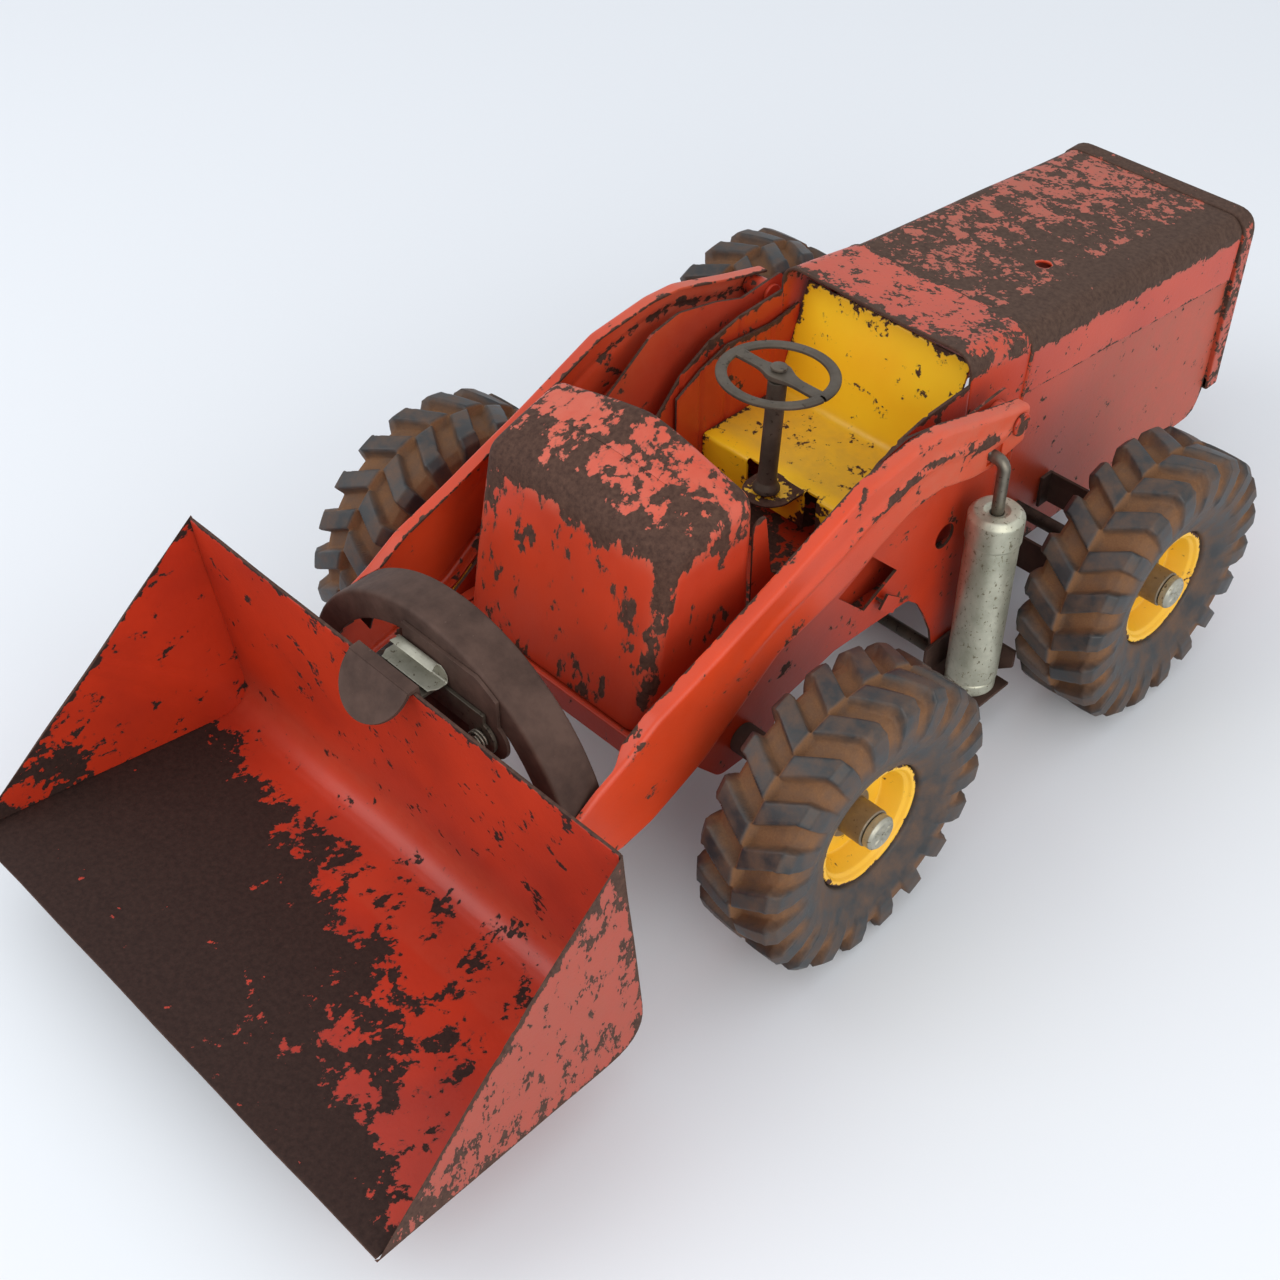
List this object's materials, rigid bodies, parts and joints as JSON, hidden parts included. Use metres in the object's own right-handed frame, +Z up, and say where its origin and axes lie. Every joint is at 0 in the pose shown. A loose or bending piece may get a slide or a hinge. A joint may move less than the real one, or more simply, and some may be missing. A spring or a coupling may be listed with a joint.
{
  "type": "toy wheel loader",
  "caption": "Pressed-steel toy front-end loader: hinged lift boom with dumping bucket, side rams, open cockpit, hood and rolling rubber tyres.",
  "frame": {"origin": "on the floor under the middle of the length, on the centre plane", "axes": "+X to the machine's left, +Y to the rear, +Z up; the bucket points along -Y"},
  "size_m": [0.2034, 0.4472, 0.1383],
  "materials": {
    "red_enamel": "worn orange-red enamel, chipped to brown steel",
    "yellow_enamel": "worn yellow enamel, chipped",
    "brown_steel": "bare steel gone brown, matt",
    "dull_plate": "dull worn plating, speckled",
    "steel_rod": "bare steel wire, oily grey",
    "rubber": "black rubber, dusty brown between the lugs"
  },
  "bodies": {
    "chassis": {"side_plate_left": "red_enamel", "side_plate_right": "red_enamel", "cockpit_floor": "red_enamel", "front_platform": "red_enamel", "leg_rod": "brown_steel", "front_spacers": "brown_steel", "rear_axle_straps": "brown_steel", "front_box": "red_enamel", "cockpit_side_left": "red_enamel", "cockpit_side_right": "red_enamel", "seat_cheek_left": "red_enamel", "seat_cheek_right": "red_enamel", "seat": "yellow_enamel", "steering_post": "brown_steel", "hood_cover": "red_enamel", "hood_front": "red_enamel", "hood_side_left": "red_enamel", "hood_side_right": "red_enamel", "hood_rear_rim": "red_enamel", "hood_grille": "red_enamel", "boom_pins": "red_enamel", "axle_front": "steel_rod", "axle_rear": "steel_rod", "axle_caps": "dull_plate", "ram_tube_left": "dull_plate", "ram_tube_right": "dull_plate", "ram_hanger_left": "brown_steel", "ram_hanger_right": "brown_steel"},
    "steering": {"steering_wheel": "brown_steel"},
    "boom": {"lift_arm_left": "red_enamel", "lift_arm_right": "red_enamel", "boom_arch": "brown_steel", "latch_plate": "brown_steel", "latch_pin": "brown_steel", "latch_spring": "steel_rod", "bucket_pins": "brown_steel"},
    "latch": {"latch_lever": "brown_steel", "thumb_tab": "dull_plate"},
    "bucket": {"bucket_shell": "red_enamel", "bucket_side_left": "red_enamel", "bucket_side_right": "red_enamel", "bucket_ear_left": "red_enamel", "bucket_ear_right": "red_enamel", "bucket_catch": "brown_steel"},
    "rod_left": {"ram_rod_left": "steel_rod"},
    "rod_right": {"ram_rod_right": "steel_rod"},
    "wheel_front_left": {"tyre_front_left": "rubber", "hub_front_left": "yellow_enamel", "bush_front_left": "dull_plate"},
    "wheel_front_right": {"tyre_front_right": "rubber", "hub_front_right": "yellow_enamel", "bush_front_right": "dull_plate"},
    "wheel_rear_left": {"tyre_rear_left": "rubber", "hub_rear_left": "yellow_enamel", "bush_rear_left": "dull_plate"},
    "wheel_rear_right": {"tyre_rear_right": "rubber", "hub_rear_right": "yellow_enamel", "bush_rear_right": "dull_plate"}
  },
  "joints": [
    {"name": "boom_lift", "type": "hinge", "parent": "chassis", "child": "boom", "pos_m": [0, 0.06205, 0.11], "axis": [-1, 0, 0], "range_deg": [-5.5, 45]},
    {"name": "bucket_dump", "type": "hinge", "parent": "boom", "child": "bucket", "pos_m": [0, -0.12045, 0.062], "axis": [1, 0, 0], "range_deg": [0, 55]},
    {"name": "latch_press", "type": "hinge", "parent": "boom", "child": "latch", "pos_m": [0.025, -0.12545, 0.088], "axis": [0, -1, 0], "range_deg": [0, 10], "stiffness_Nm_per_rad": 0.06, "springref_deg": -5.73},
    {"name": "steering_turn", "type": "hinge", "parent": "chassis", "child": "steering", "pos_m": [0, 0.01535, 0.123], "axis": [0, 0.0668, 0.9978], "continuous": true},
    {"name": "rod_slide_left", "type": "slide", "parent": "chassis", "child": "rod_left", "axis": [0, 0, 1], "range_m": [-0.0012, 0.009]},
    {"name": "rod_slide_right", "type": "slide", "parent": "chassis", "child": "rod_right", "axis": [0, 0, 1], "range_m": [-0.0012, 0.009]},
    {"name": "wheel_front_left_roll", "type": "hinge", "parent": "chassis", "child": "wheel_front_left", "pos_m": [0.0862, -0.04645, 0.047], "axis": [1, 0, 0], "continuous": true},
    {"name": "wheel_front_right_roll", "type": "hinge", "parent": "chassis", "child": "wheel_front_right", "pos_m": [-0.0862, -0.04645, 0.047], "axis": [1, 0, 0], "continuous": true},
    {"name": "wheel_rear_left_roll", "type": "hinge", "parent": "chassis", "child": "wheel_rear_left", "pos_m": [0.0862, 0.09885, 0.047], "axis": [1, 0, 0], "continuous": true},
    {"name": "wheel_rear_right_roll", "type": "hinge", "parent": "chassis", "child": "wheel_rear_right", "pos_m": [-0.0862, 0.09885, 0.047], "axis": [1, 0, 0], "continuous": true}
  ],
  "couplings": [
    {"joint": "rod_slide_left", "follows": "boom_lift", "m_per_rad": 0.0112},
    {"joint": "rod_slide_right", "follows": "boom_lift", "m_per_rad": 0.0112}
  ]
}
